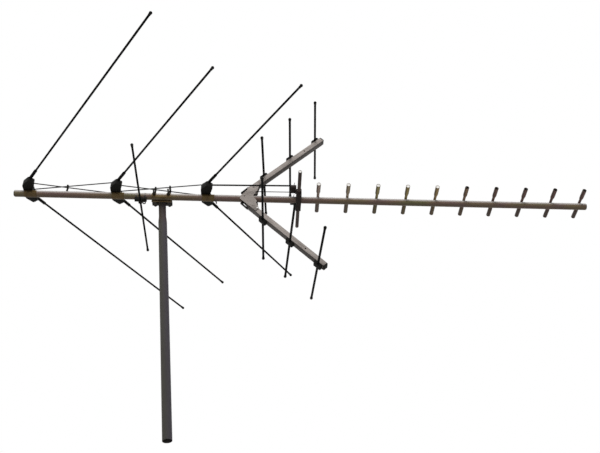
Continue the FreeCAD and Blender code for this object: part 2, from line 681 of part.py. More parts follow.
def reflector_grip(level, index):
    """Snap grip that holds a rod against the outer face of its arm."""
    along, outward = arm_axes(level)
    middle, direction = reflector_axis(level, index)
    s = REFLECTOR_PLACES[index]
    high = ARM_TOP + REFLECTOR_SLOT + GRIP_OVER_ROD
    half = GRIP_LENGTH / 2
    grip = arm_block(level, s - half, s + half, ARM_TOP, high, GRIP_WIDTH / 2)
    ends = edges_along(grip, ACROSS, lambda p: (p - arm_point(level, 0, high)).dot(outward) > -SEAT_GAP)
    grip = grip.makeChamfer(GRIP_CHAMFER, ends)
    foot = middle - outward * (REFLECTOR_SLOT / 2)
    beside = direction.cross(outward) * (REFLECTOR_SLOT / 2)
    reach = direction * GRIP_WIDTH
    corners = [foot - reach - beside, foot + reach - beside, foot + reach + beside, foot - reach + beside]
    return grip.cut(raised(corners, outward * REFLECTOR_SLOT))


# Driven dipole

def dipole_housing():
    """Moulded box round the boom with a square socket for each half of the dipole."""
    half = DIPOLE_BOX_WIDTH / 2
    side = [(DIPOLE_BOX_HALF, -DIPOLE_BOX_TOP), (DIPOLE_BOX_HALF, DIPOLE_BOX_TOP)]
    section = side + [(-y, z) for y, z in reversed(side)]
    box = long_prism(section, DIPOLE_X - half, DIPOLE_X + half)
    box = box.makeChamfer(DIPOLE_BOX_CHAMFER, edges_along(box, FORWARD))
    box = drilled(box, V(DIPOLE_X - half, 0, 0), FORWARD, 2 * BOOM_SEAT_R, DIPOLE_BOX_WIDTH)
    for sign in SIDES.values():
        root = V(DIPOLE_X, sign * DIPOLE_ROOT, 0)
        box = box.cut(bar(4, DIPOLE_TUBE_DIA + 2 * SEAT_GAP, root, ACROSS * sign, DIPOLE_BOX_HALF))
    return box


def dipole_half(side):
    """Half of the dipole: a tube whose outer end is left open."""
    outer = DIPOLE_TUBE_DIA / 2
    bore = outer - DIPOLE_TUBE_WALL
    profile = [(DIPOLE_ROOT, bore), (DIPOLE_ROOT, outer), (DIPOLE_HALF, outer), (DIPOLE_HALF, bore)]
    return turned(profile, V(DIPOLE_X, 0, 0), ACROSS * side)


def feed_block(side):
    """Terminal block that stands over the back of the dipole's box on a foot against it."""
    outline = [(BLOCK_BACK, side * BLOCK_INNER), (BLOCK_FRONT, side * BLOCK_INNER)]
    outline += [(BLOCK_FRONT, side * BLOCK_OUTER), (BLOCK_BACK, side * BLOCK_OUTER)]
    block = plan_prism(outline, BLOCK_LOW, BLOCK_TOP)
    back_edges = edges_along(block, UP, lambda p: p.x < BLOCK_FRONT - SEAT_GAP)
    block = block.makeChamfer(BLOCK_CHAMFER, back_edges)
    middle = side * (BLOCK_INNER + BLOCK_OUTER) / 2
    back = BLOCK_FRONT - BLOCK_FOOT_LENGTH
    half = BLOCK_FOOT_WIDTH / 2
    foot = [(back, middle - half), (BLOCK_FRONT, middle - half)]
    foot += [(BLOCK_FRONT, middle + half), (back, middle + half)]
    return block.fuse(plan_prism(foot, BLOCK_LOW - BLOCK_FOOT_DROP, BLOCK_LOW)).removeSplitter()


# Directors

def director_section(x, y, width, height):
    """Eight-sided section across a director; every section has its top at the same level."""
    cut = min(width, height) * CORNER_CUT_SHARE
    side = width / 2
    low = DIRECTOR_TOP - height
    right = [(side - cut, low), (side, low + cut), (side, DIRECTOR_TOP - cut), (side - cut, DIRECTOR_TOP)]
    outline = right + [(-px, pz) for px, pz in reversed(right)]
    return [V(x + px, y, pz) for px, pz in outline]


def director(x):
    """Tube with a squeezed neck on the boom; its two ends are open as far as the neck."""
    neck = (DIRECTOR_NECK_WIDTH, DIRECTOR_NECK_HEIGHT)
    full = (DIRECTOR_FLATS, DIRECTOR_FLATS)
    half = [(DIRECTOR_NECK_HALF, neck), (DIRECTOR_NECK_HALF + DIRECTOR_TAPER, full), (DIRECTOR_HALF, full)]
    steps = [(-y, size) for y, size in reversed(half)] + half
    tube = skinned([director_section(x, y, *size) for y, size in steps])
    bore = DIRECTOR_FLATS - 2 * DIRECTOR_WALL
    for side in SIDES.values():
        end = V(x, side * DIRECTOR_HALF, DIRECTOR_AXIS_Z)
        tube = tube.cut(bar(DIRECTOR_SIDES, bore, end, ACROSS * -side, DIRECTOR_BORE_DEPTH))
    return tube


# Build every piece

def build():
    os.makedirs("parts", exist_ok=True)
    save("mast_tube", mast_tube())
    save_antenna("boom_tube", boom_tube())
    save_antenna("boom_caps", boom_cap(BOOM_BACK, -FORWARD), boom_cap(BOOM_FRONT, FORWARD))
    save_antenna("clamp_front_plate", clamp_front_plate())
    save_antenna("clamp_mast_saddle", clamp_mast_saddle())
    save_antenna("clamp_mast_jaw", clamp_mast_jaw())
    save_antenna("clamp_bolts", *clamp_bolts())
    for name, pair in PAIRS.items():
        save_antenna(name + "_insulator", insulator(pair))
        for side_name, side in SIDES.items():
            save_antenna(name + "_rod_" + side_name, swept_rod(pair, side))
    for side_name, side in SIDES.items():
        save_antenna("phase_wire_rear_" + side_name, phase_wire("rear", "middle", side))
        save_antenna("phase_wire_front_" + side_name, phase_wire("middle", "front", side))
    save_antenna("wire_standoffs", *wire_standoffs())
    save_antenna("straight_rod", straight_rod())
    save_antenna("straight_rod_clip", straight_rod_clip())
    grips = []
    for level in LEVELS:
        save_antenna(level + "_arm", corner_arm(level))
        for index in range(len(REFLECTOR_PLACES)):
            save_antenna(level + "_reflector_rod_" + str(index + 1), reflector_rod(level, index))
            grips.append(reflector_grip(level, index))
    save_antenna("reflector_grips", *grips)
    save_antenna("arm_caps", *[arm_cap(level) for level in LEVELS])
    save_antenna("arm_stops", *[arm_stop(level) for level in LEVELS])
    save_antenna("dipole_housing", dipole_housing())
    save_antenna("stub_wire", stub_wire())
    for side_name, side in SIDES.items():
        save_antenna("hub_plate_" + side_name, hub_plate(side))
        save_antenna("feed_line_" + side_name, feed_line(side))
        save_antenna("dipole_half_" + side_name, dipole_half(side))
        save_antenna("feed_block_" + side_name, feed_block(side))
    for number, x in enumerate(DIRECTOR_XS, 1):
        save_antenna("director_" + str(number), director(x))


build()
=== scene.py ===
# %% [markdown]
# An outdoor TV antenna, dressed on its CAD frame.
# The frame already holds every rod, tube and moulding, so this lesson is about looks: weathered metals,
# black mouldings with soft edges, and the small trim that holds the antenna together.
# The frame is loaded first and never moved.

# %% Load the frame
import json
import math
from functools import partial

import bpy
import numpy as np
from mathutils import Matrix, Vector

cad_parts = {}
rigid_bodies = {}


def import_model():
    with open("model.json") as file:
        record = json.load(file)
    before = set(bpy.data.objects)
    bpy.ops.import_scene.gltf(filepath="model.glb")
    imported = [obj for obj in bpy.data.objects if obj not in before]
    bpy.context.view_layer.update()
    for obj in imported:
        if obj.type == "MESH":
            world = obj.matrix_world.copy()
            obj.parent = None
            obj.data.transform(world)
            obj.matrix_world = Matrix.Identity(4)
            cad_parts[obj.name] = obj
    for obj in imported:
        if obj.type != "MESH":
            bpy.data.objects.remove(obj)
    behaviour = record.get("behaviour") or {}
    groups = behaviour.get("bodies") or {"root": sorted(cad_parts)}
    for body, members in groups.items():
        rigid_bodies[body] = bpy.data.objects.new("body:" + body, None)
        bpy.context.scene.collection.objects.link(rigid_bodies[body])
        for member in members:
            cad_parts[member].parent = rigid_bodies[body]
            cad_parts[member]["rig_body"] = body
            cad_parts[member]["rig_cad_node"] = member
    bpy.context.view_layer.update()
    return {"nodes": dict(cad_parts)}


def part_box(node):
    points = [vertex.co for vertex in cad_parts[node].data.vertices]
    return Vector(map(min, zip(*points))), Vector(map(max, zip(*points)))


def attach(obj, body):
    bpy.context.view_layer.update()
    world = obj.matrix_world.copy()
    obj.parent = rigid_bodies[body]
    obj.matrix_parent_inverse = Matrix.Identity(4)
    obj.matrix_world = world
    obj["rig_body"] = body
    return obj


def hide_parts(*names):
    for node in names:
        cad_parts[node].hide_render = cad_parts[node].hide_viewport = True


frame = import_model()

NODES = frame["nodes"]
MM = 0.001
scene = bpy.context.scene

# %% [markdown]
# The antenna hangs a little nose-down on its mast, so trim is easiest to place in the boom's own axes.
# Those axes could be typed in, but the boom's mesh already says where they are. The longest direction
# through its points is the boom's axis, and any other straight piece is read in the same way.

# %% Read lines and axes from the frame
def line_of(name):
    """Two ends of a long straight piece, on its axis."""
    points = np.unique(np.array([v.co for v in NODES[name].data.vertices]).round(6), axis=0)
    middle = points.mean(0)
    axis = np.linalg.svd(points - middle, full_matrices=False)[2][0]
    along = (points - middle) @ axis
    ends = [Vector(middle + axis * along.min()), Vector(middle + axis * along.max())]
    return sorted(ends, key=lambda end: end.x)


def pointing(place, direction):
    """Matrix that carries a piece drawn up +Z to a place, with its axis along a direction."""
    turn = Vector(direction).to_track_quat("Z", "Y").to_matrix().to_4x4()
    return Matrix.Translation(place) @ turn


across = Vector((0, 1, 0))
boom_rear, boom_front = line_of("boom_tube")
boom_along = (boom_front - boom_rear).normalized()
boom_up = boom_along.cross(across)
boom_crossing = boom_rear - boom_along * (boom_rear.x / boom_along.x)
BOOM_TURN = Matrix((boom_along, across, boom_up)).transposed().to_4x4()
BOOM = Matrix.Translation(boom_crossing) @ BOOM_TURN
BOOM_TILT = math.asin(-boom_along.z)


def on_boom(x, y, z):
    """Point given in millimetres along, across and above the boom."""
    return BOOM @ Vector((x * MM, y * MM, z * MM))


print("boom tilt", round(math.degrees(BOOM_TILT), 2), "degrees, crossing", boom_crossing)

# %% [markdown]
# The photograph looks up from below the mast's foot, through a normal lens. A camera is easiest to understand
# as a place and three turns: yaw, pitch and roll.

# %% Camera
IMAGE_WIDTH = 600
FOCAL_PIXELS = 860.1
SENSOR = 36.0
CAMERA_PLACE = (0.1644, -2.4672, -1.2186)
CAMERA_YAW = math.radians(7.934)
CAMERA_PITCH = math.radians(39.298)
CAMERA_ROLL = math.radians(-8.69)

lens = bpy.data.cameras.new("camera")
lens.sensor_width = SENSOR
lens.lens = SENSOR * FOCAL_PIXELS / IMAGE_WIDTH
camera = bpy.data.objects.new("camera", lens)
camera.matrix_world = (
    Matrix.Translation(CAMERA_PLACE)
    @ Matrix.Rotation(-CAMERA_YAW, 4, "Z")
    @ Matrix.Rotation(math.pi / 2 + CAMERA_PITCH, 4, "X")
    @ Matrix.Rotation(CAMERA_ROLL, 4, "Z")
)
scene.collection.objects.link(camera)
scene.camera = camera
print("lens", round(lens.lens, 1), "mm")

# %% [markdown]
# Shader maths is much shorter as Python than as a list of nodes and links. `Value` wraps one output
# socket, so that `1 - mask * 0.5` adds the Math nodes by itself. `Nodes.add` makes every new node.

# %% Shader kit
class Value:
    """One output socket; arithmetic on it adds Math nodes."""

    def __init__(self, nodes, socket):
        self.nodes = nodes
        self.socket = socket

    def _math(self, operation, first, second):
        return self.nodes.add("ShaderNodeMath", {"operation": operation}, {0: first, 1: second})

    def __add__(self, other):
        return self._math("ADD", self, other)

    def __radd__(self, other):
        return self._math("ADD", other, self)

    def __sub__(self, other):
        return self._math("SUBTRACT", self, other)

    def __rsub__(self, other):
        return self._math("SUBTRACT", other, self)

    def __mul__(self, other):
        return self._math("MULTIPLY", self, other)

    def __rmul__(self, other):
        return self._math("MULTIPLY", other, self)

    def __abs__(self):
        return self._math("ABSOLUTE", self, 0)


class Nodes:
    """A node tree that grows by add(): a node's type, its settings, then its sockets."""

    def __init__(self, tree):
        self.tree = tree

    def put(self, socket, value):
        if isinstance(value, Value):
            self.tree.links.new(value.socket, socket)
        else:
            socket.default_value = value

    def add(self, kind, settings=None, sockets=None, output=0):
        node = self.tree.nodes.new(kind)
        for name, value in (settings or {}).items():
            if name == "stops":
                ramp = node.color_ramp.elements
                ramp[0].position, ramp[0].color = value[0]
                ramp[1].position, ramp[1].color = value[-1]
                for position, colour in value[1:-1]:
                    ramp.new(position).color = colour
            else:
                setattr(node, name, value)
        for name, value in (sockets or {}).items():
            self.put(node.inputs[name], value)
        return Value(self, node.outputs[output])

    def place(self, size, turn=(0, 0, 0)):
        """Object coordinates divided by the size of the pattern's grain, in metres."""
        where = self.add("ShaderNodeTexCoord", output="Object")
        sockets = {"Vector": where, "Rotation": turn, "Scale": size}
        return self.add("ShaderNodeMapping", {"vector_type": "TEXTURE"}, sockets)

    def noise(self, size, detail=3.0, turn=(0, 0, 0)):
        size = size if isinstance(size, tuple) else (size, size, size)
        sockets = {"Vector": self.place(size, turn), "Scale": 1.0, "Detail": detail}
        return self.add("ShaderNodeTexNoise", {"noise_dimensions": "3D"}, sockets)

    def step(self, value, low, high):
        """Smooth 0 to 1 as a value goes from low to high."""
        sockets = {"Value": value, "From Min": low, "From Max": high}
        return self.add("ShaderNodeMapRange", {"interpolation_type": "SMOOTHSTEP"}, sockets)

    def ramp(self, value, stops):
        """Colour that follows a value through a list of (position, colour) stops."""
        return self.add("ShaderNodeValToRGB", {"stops": stops}, {0: value})

    def blend(self, factor, first, second):
        """Colour between two colours."""
        return self.add("ShaderNodeMix", {"data_type": "RGBA"}, {0: factor, 6: first, 7: second}, output=2)

    def axis(self, letter):
        """One object coordinate, in metres."""
        return self.add("ShaderNodeSeparateXYZ", None, {0: self.place((1, 1, 1))}, output=letter)

    def facing_up(self):
        """How far the surface faces the sky, from -1 to 1."""
        normal = self.add("ShaderNodeTexCoord", output="Normal")
        return self.add("ShaderNodeSeparateXYZ", None, {0: normal}, output="Z")


print("shader kit:", ", ".join(name for name in vars(Nodes) if not name.startswith("_")))

# %% [markdown]
# The photograph's background is plain white. The world is white only to camera, glossy and transmission
# rays, and a mild grey to diffuse ones, so the white never washes over the object. The floor lies far below
# the mast. It glows to those same rays, about half near the mast and fully in the distance, so that it is
# pale and still takes a shadow.

# %% World and floor
AMBIENT = 0.2
WHITE = (1, 1, 1, 1)
FLOOR_Z = -2.0
FLOOR_RADIUS = 26.0
FLOOR_FADE = (6.0, 22.0)
FLOOR_GLOW = 0.55
FLOOR_COLOUR = (0.62, 0.61, 0.59, 1)
FLOOR_ROUGHNESS = 0.9


def deselect():
    bpy.ops.object.select_all(action="DESELECT")


def seen_rays(nodes):
    """1 for rays that look at the background, directly, in a reflection or through glass."""
    kinds = ("Is Camera Ray", "Is Glossy Ray", "Is Transmission Ray")
    seen = [nodes.add("ShaderNodeLightPath", output=kind) for kind in kinds]
    return seen[0] + seen[1] + seen[2]


world = bpy.data.worlds.new("world")
world.use_nodes = True
scene.world = world
sky = Nodes(world.node_tree)
sky_colour = sky.blend(seen_rays(sky), (AMBIENT, AMBIENT, AMBIENT, 1), WHITE)
sky.put(world.node_tree.nodes["Background"].inputs["Color"], sky_colour)
scene.view_settings.view_transform = "Standard"

deselect()
bpy.ops.mesh.primitive_circle_add(vertices=96, radius=FLOOR_RADIUS, fill_type="NGON",
                                  location=(0, 0, FLOOR_Z))
floor = bpy.context.object
floor.name = "floor"
floor_material = bpy.data.materials.new("pale_floor")
floor_material.use_nodes = True
ground = Nodes(floor_material.node_tree)
ground_shader = floor_material.node_tree.nodes["Principled BSDF"]
ground_shader.inputs["Base Color"].default_value = FLOOR_COLOUR
ground_shader.inputs["Roughness"].default_value = FLOOR_ROUGHNESS
ground_place = ground.add("ShaderNodeTexCoord", output="Object")
distance = ground.add("ShaderNodeVectorMath", {"operation": "LENGTH"}, {0: ground_place}, output="Value")
fade = ground.step(distance, *FLOOR_FADE)
glow = ground.add("ShaderNodeEmission", None, {"Color": WHITE, "Strength": 1.0})
lit = Value(ground, ground_shader.outputs[0])
white = (fade * (1 - FLOOR_GLOW) + FLOOR_GLOW) * seen_rays(ground)
mixed = ground.add("ShaderNodeMixShader", None, {0: white, 1: lit, 2: glow})
ground.put(floor_material.node_tree.nodes["Material Output"].inputs["Surface"], mixed)
floor.data.materials.append(floor_material)
print("floor at", FLOOR_Z, "m, radius", FLOOR_RADIUS, "m")

# %% [markdown]
# Light comes from a wide soft box above and in front, as from a bright sky behind the viewer. A weaker one
# above and behind lights the far side. Neither is seen by the camera or in a reflection.

# %% Lamps
LIT_POINT = (0.4, 0.0, 1.0)


def soft_box(name, place, size, power):
    """Square area lamp that looks at the middle of the antenna."""
    lamp = bpy.data.lights.new(name, "AREA")
    lamp.size = size
    lamp.energy = power
    box = bpy.data.objects.new(name, lamp)
    box.matrix_world = pointing(place, Vector(place) - Vector(LIT_POINT))
    box.visible_camera = False
    box.visible_glossy = False
    scene.collection.objects.link(box)
    print("lamp", name, "size", size, "m, power", power, "W")


soft_box("sky_box", (0.3, -2.5, 3.8), size=2.8, power=135)
soft_box("back_box", (0.8, 2.8, 3.4), size=2.4, power=60)

# %% [markdown]
# A finish is one material. Its own function gives a colour, a roughness and a height, and the rest is the
# same for all: the height goes through a Bump node, and colours are written as they look on a screen.

# %% Finish maker
FINISHES = {}


def tone(red, green, blue):
    """Linear colour of a screen colour from 0 to 255."""
    linear = [((c / 255 + 0.055) / 1.055) ** 2.4 if c > 10 else c / 255 / 12.92 for c in (red, green, blue)]
    return (*linear, 1.0)


def finish(name, build, metallic=0.0, gloss=0.5, bump=0.1, depth=0.0005):
    """Make and keep a material; build(nodes) gives its colour, its roughness and its height."""
    material = bpy.data.materials.new(name)
    material.use_nodes = True
    nodes = Nodes(material.node_tree)
    shader = material.node_tree.nodes["Principled BSDF"]
    colour, roughness, height = build(nodes)
    nodes.put(shader.inputs["Base Color"], colour)
    nodes.put(shader.inputs["Roughness"], roughness)
    shader.inputs["Metallic"].default_value = metallic
    shader.inputs["Specular IOR Level"].default_value = gloss
    relief = {"Strength": bump, "Distance": depth, "Height": height}
    nodes.put(shader.inputs["Normal"], nodes.add("ShaderNodeBump", None, relief))
    FINISHES[name] = material
    print("finish", name, "nodes", len(material.node_tree.nodes))


print("middle grey is", round(tone(128, 128, 128)[0], 3), "in linear light")

# %% [markdown]
# A real finish varies at two scales at least: slow drifts of colour from weather or dye, and a fine grain
# from drawing, moulding or plating. Patterns read object coordinates in metres, so their grain keeps its
# real size on every piece. The boom and the short tubes are dyed bronze, and a cut end shows bare metal.

# %% Tube finishes
TURNED_WITH_BOOM = (0, BOOM_TILT, 0)


def bronzed(nodes):
    """Bronze-dyed tube: the dye drifts, the sides are paled partly by chalk and partly by a painted
    highlight, the very top turns a mid grey brown, and painted shade darkens the belly.
    """
    drift = nodes.noise((0.30, 0.08, 0.08), 2.0)
    lines = nodes.noise((0.14, 0.0016, 0.0016), 2.0, TURNED_WITH_BOOM)
    specks = nodes.noise(0.006, 4.0)
    up = nodes.facing_up()
    colour = nodes.ramp(drift, [(0.36, tone(120, 114, 80)), (0.46, tone(134, 112, 92)),
                                (0.54, tone(126, 102, 98)), (0.64, tone(132, 116, 84))])
    colour = nodes.blend(nodes.step(lines, 0.45, 0.75) * 0.3, colour, tone(150, 136, 122))
    # Painted highlight, partly chalk: upward and sideways faces are paled as if the sky lit them.
    chalk_and_sheen = nodes.step(up + (specks - 0.5) * 0.25 + (lines - 0.5) * 0.2, -0.42, 0.3)
    colour = nodes.blend(chalk_and_sheen * 0.9, colour, tone(204, 199, 196))
    # The very top is pulled back to a mid grey brown.
    uppermost = nodes.step(up + (specks - 0.5) * 0.4, 0.4, 0.9)
    colour = nodes.blend(uppermost * 0.7, colour, tone(140, 130, 120))
    # Painted shade: the belly is darkened as if it lay in shadow.
    painted_belly_shade = nodes.step((specks - 0.5) * 0.3 - up, 0.62, 1.0)
    colour = nodes.blend(painted_belly_shade * 0.6, colour, tone(92, 80, 70))
    roughness = 0.42 + lines * 0.16 + chalk_and_sheen * 0.2
    return colour, roughness, lines


def director_bronze(nodes):
    """Bronze dye on the short tubes: it goes from rose grey over olive gold to dark brown along the boom; a
    painted highlight strip runs along the underside, and painted shade darkens the sides and the far half.
    """
    cloud = nodes.noise(0.05, 2.0)
    drift = nodes.step(nodes.axis("X") + (cloud - 0.5) * 0.12, 0.45, 1.75)
    grain = nodes.noise((0.0014, 0.05, 0.0014), 2.0)
    specks = nodes.noise(0.005, 4.0)
    colour = nodes.ramp(drift, [(0.03, tone(178, 158, 146)), (0.2, tone(170, 160, 104)),
                                (0.46, tone(178, 148, 104)), (0.62, tone(122, 94, 84)),
                                (1.0, tone(116, 86, 84))])
    # Painted highlight and shade: a pale strip is left along the underside, as a reflection of the ground,
    # and the faces around it are darkened.
    painted_glint_strip = nodes.step(grain * 0.2 - nodes.facing_up(), 0.78, 1.08)
    colour = nodes.blend((1 - painted_glint_strip) * 0.75, colour, tone(74, 62, 52))
    colour = nodes.blend(nodes.step(specks, 0.55, 0.75) * 0.35, colour, tone(84, 72, 60))
    # Painted shade: the half beyond the boom is darkened.
    colour = nodes.blend(nodes.step(nodes.axis("Y"), -0.05, 0.0) * 0.75, colour, tone(74, 64, 56))
    roughness = 0.4 + grain * 0.16
    return colour, roughness, grain


def dipole_bronze(nodes):
    """Dark bronze dye on the dipole's tubes, brown where it has faded."""
    lines = nodes.noise((0.0016, 0.06, 0.0016), 2.0)
    cloud = nodes.noise(0.03, 3.0)
    colour = nodes.blend(nodes.step(cloud, 0.35, 0.7), tone(66, 55, 51), tone(88, 74, 69))
    colour = nodes.blend(nodes.step(lines, 0.5, 0.8) * 0.3, colour, tone(106, 92, 86))
    roughness = 0.42 + lines * 0.2
    return colour, roughness, lines


def bright_bore(nodes):
    """Inside of a cut tube: undyed bright aluminium, dulled in patches."""
    cloud = nodes.noise(0.008, 3.0)
    fine = nodes.noise((0.0012, 0.03, 0.0012), 2.0)
    colour = nodes.blend(nodes.step(cloud, 0.4, 0.75) * 0.5, tone(244, 242, 238), tone(214, 210, 204))
    roughness = 0.2 + cloud * 0.15
    return colour, roughness, fine


finish("bronzed_aluminium", bronzed, metallic=0.15, gloss=0.3, bump=0.12)
finish("director_bronze", director_bronze, metallic=0.25, gloss=0.3, bump=0.12)
finish("dipole_bronze", dipole_bronze, metallic=0.15, gloss=0.25)
finish("bright_bore", bright_bore, metallic=1.0, bump=0.05)

# %% [markdown]
# The mast is galvanised steel, which shows flat crystals under a dull bloom. The arms and the hub plates are
# bare aluminium with fine lines along the metal, so one function takes the turn of those lines.

# %% Mast and arm finishes
ARM_ANGLE = math.pi / 4
LINE_ANGLES = {"pale_aluminium": 0, "upper_arm": -ARM_ANGLE, "lower_arm": ARM_ANGLE}


def galvanised(nodes):
    """Weathered zinc: flat crystal spangle under a dull bloom, rusty where the swage stretched it."""
    sockets = {"Vector": nodes.place((0.009, 0.009, 0.014)), "Scale": 1.0}
    cells = nodes.add("ShaderNodeTexVoronoi", {"feature": "F1"}, sockets, output="Color")
    spangle = nodes.add("ShaderNodeSeparateColor", None, {0: cells})
    bloom = nodes.noise((0.02, 0.02, 0.16), 4.0)
    runs = nodes.noise((0.005, 0.005, 0.4), 2.0)
    colour = nodes.blend(spangle * 0.25 + bloom * 0.75, tone(74, 72, 71), tone(88, 86, 85))
    sides = nodes.step(nodes.axis("X"), -0.014, 0.014)
    colour = nodes.blend(sides * 0.5, colour, tone(80, 74, 88))
    colour = nodes.blend((1 - sides) * 0.4, colour, tone(86, 85, 70))
    colour = nodes.blend(nodes.step(runs, 0.55, 0.8) * 0.35, colour, tone(62, 59, 59))
    height = nodes.axis("Z")
    rust_zone = nodes.step(height, 0.86, 0.9) * (1 - nodes.step(height, 0.94, 1.0))
    rust = rust_zone * nodes.step(bloom, 0.42, 0.62)
    colour = nodes.blend(rust * 0.4, colour, tone(84, 62, 50))
    roughness = 0.5 + bloom * 0.2 + rust * 0.2
    return colour, roughness, spangle * 0.2 + bloom


def brushed(nodes, turn):
    """Bare aluminium with lines along the metal, dulled by weather, and darkened below by painted shade."""
    lines = nodes.noise((0.2, 0.0016, 0.0016), 2.0, turn)
    cloud = nodes.noise((0.06, 0.06, 0.06), 3.0)
    pits = nodes.noise(0.004, 3.0)
    up = nodes.facing_up()
    colour = nodes.blend(nodes.step(cloud, 0.35, 0.7), tone(176, 167, 161), tone(160, 151, 145))
    colour = nodes.blend(nodes.step(lines, 0.42, 0.75) * 0.35, colour, tone(196, 189, 184))
    colour = nodes.blend(nodes.step(pits, 0.64, 0.76) * 0.2, colour, tone(112, 104, 98))
    # Painted shade: downward faces are darkened as if they lay in shadow.
    painted_underside_shade = nodes.step(cloud * 0.3 - up, 0.2, 0.75)
    colour = nodes.blend(painted_underside_shade * 0.85, colour, tone(58, 52, 49))
    roughness = 0.42 + lines * 0.18 + cloud * 0.1
    return colour, roughness, lines


finish("galvanised_mast", galvanised, metallic=0.1, gloss=0.2, bump=0.12)
for name, angle in LINE_ANGLES.items():
    finish(name, partial(brushed, turn=(0, BOOM_TILT + angle, 0)), metallic=0.1, gloss=0.3)

# %% [markdown]
# The rods and wires are dark. They get little gloss, because against a white sky even a few percent of
# reflection would turn black into grey.

# %% Rod and wire finishes
def dark_rod(nodes):
    """Black-dyed aluminium rod, a little greyed where the dye has thinned."""
    cloud = nodes.noise(0.04, 4.0)
    grain = nodes.noise(0.0014, 3.0)
    thin = nodes.step(cloud, 0.5, 0.75) * nodes.step(grain, 0.4, 0.7)
    colour = nodes.blend(thin * 0.4, tone(14, 14, 13), tone(34, 33, 31))
    roughness = 0.5 + grain * 0.2
    return colour, roughness, grain


def swept_rod(nodes):
    """The same rod, with a painted highlight on the sky side of the crimped sleeve at its root, stronger on
    the far rods.
    """
    colour, roughness, grain = dark_rod(nodes)
    # Painted highlight: the sleeve's upward faces, more so on the far side, are paled as if they caught the
    # sky.
    far = nodes.step(nodes.axis("Y"), -0.005, 0.005)
    painted_lit_face = nodes.step(nodes.facing_up() + grain * 0.3 + far * 0.5, 0.1, 0.6)
    chalk_and_sheen = (1 - nodes.step(abs(nodes.axis("Y")), 0.066, 0.07)) * painted_lit_face
    return nodes.blend(chalk_and_sheen * 0.8, colour, tone(150, 148, 146)), roughness, grain


def drawn_wire(nodes):
    """Dull drawn wire with darker oxide patches."""
    patches = nodes.noise((0.03, 0.01, 0.01), 4.0)
    fine = nodes.noise(0.001, 3.0)
    colour = nodes.blend(nodes.step(patches, 0.35, 0.7), tone(18, 18, 17), tone(38, 37, 35))
    roughness = 0.46 + fine * 0.24
    return colour, roughness, fine


finish("dark_rod", dark_rod, gloss=0.06)
finish("swept_rod", swept_rod, gloss=0.06)
finish("line_wire", drawn_wire, gloss=0.1)

# %% [markdown]
# The clamp's pressed plates have a yellow zinc film that drifts from gold to brown and olive. Its jaw, bolts
# and nuts are duller and darker, with a first bloom of rust.

# %% Clamp finishes
def yellow_zinc(nodes):
    """Yellow passivated zinc: gold that drifts to brown and olive in patches."""
    patches = nodes.noise(0.018, 3.0)
    fine = nodes.noise(0.002, 3.0)
    colour = nodes.ramp(patches * 0.8 + fine * 0.2, [(0.3, tone(72, 58, 38)), (0.45, tone(102, 82, 52)),
                                                     (0.58, tone(114, 94, 58)), (0.7, tone(94, 86, 56))])
    roughness = 0.42 + fine * 0.22
    return colour, roughness, fine


def dark_steel(nodes):
    """Dull dark zinc on steel, with a first bloom of rust."""
    patches = nodes.noise(0.01, 4.0)
    fine = nodes.noise(0.0015, 3.0)
    colour = nodes.blend(nodes.step(patches, 0.35, 0.65), tone(40, 38, 35), tone(64, 61, 56))
    rust = nodes.step(fine * 0.5 + patches * 0.5, 0.56, 0.66)
    colour = nodes.blend(rust * 0.5, colour, tone(72, 54, 40))
    roughness = 0.46 + fine * 0.25
    return colour, roughness, fine


finish("yellow_zinc", yellow_zinc, metallic=0.15, gloss=0.3)
finish("dark_steel", dark_steel, metallic=0.1, gloss=0.2)

# %% [markdown]
# The insulators, caps and clips are black mouldings, and the dipole's housing is dark brown. Both have a fine
# grain, and a grey bloom where they face the sun, so one function takes the dye.

# %% Moulding finishes
DYES = {
    "black_plastic": (tone(26, 26, 24), tone(37, 36, 34)),
    "brown_plastic": (tone(46, 40, 38), tone(66, 57, 54)),
}


def moulded(nodes, dye):
    """Moulded plastic: fine spark grain, and a grey bloom where the sun has chalked it."""
    grain = nodes.noise(0.0007, 2.0)
    cloud = nodes.noise(0.02, 4.0)
    chalk_and_sheen = nodes.step(nodes.facing_up() + (cloud - 0.5) * 0.8, 0.55, 1.2)
    colour = nodes.blend(cloud, *dye)
    colour = nodes.blend(chalk_and_sheen * 0.5, colour, tone(78, 77, 75))
    roughness = 0.55 + cloud * 0.2 + chalk_and_sheen * 0.1
    return colour, roughness, grain


for name, dye in DYES.items():
    finish(name, partial(moulded, dye=dye), gloss=0.1, bump=0.2, depth=0.0003)

# %% [markdown]
# Every node of the frame takes one of these finishes. Names that start alike are made alike, so a short
# list of beginnings is enough, and the first that fits is used.

# %% Finish the frame's own nodes
NODE_FINISH = [
    ("mast_tube", "galvanised_mast"),
    ("boom_tube", "bronzed_aluminium"),
    ("director", "director_bronze"),
    ("upper_arm", "upper_arm"),
    ("lower_arm", "lower_arm"),
    ("hub_plate", "pale_aluminium"),
    ("dipole_half", "dipole_bronze"),
    ("dipole_housing", "brown_plastic"),
    ("feed_block", "brown_plastic"),
    ("clamp_front_plate", "yellow_zinc"),
    ("clamp_mast_saddle", "yellow_zinc"),
    ("clamp", "dark_steel"),
    ("phase_wire", "line_wire"),
    ("stub_wire", "line_wire"),
    ("feed_line", "line_wire"),
    ("straight_rod_clip", "black_plastic"),
    ("straight_rod", "dark_rod"),
    ("upper_reflector", "dark_rod"),
    ("lower_reflector", "dark_rod"),
    ("rear_rod", "swept_rod"),
    ("middle_rod", "swept_rod"),
    ("front_rod", "swept_rod"),
    ("", "black_plastic"),
]


def finish_of(name):
    return FINISHES[next(key for start, key in NODE_FINISH if name.startswith(start))]


for name, node in NODES.items():
    node.data.materials.clear()
    node.data.materials.append(finish_of(name))
print("finished nodes:", len(NODES))

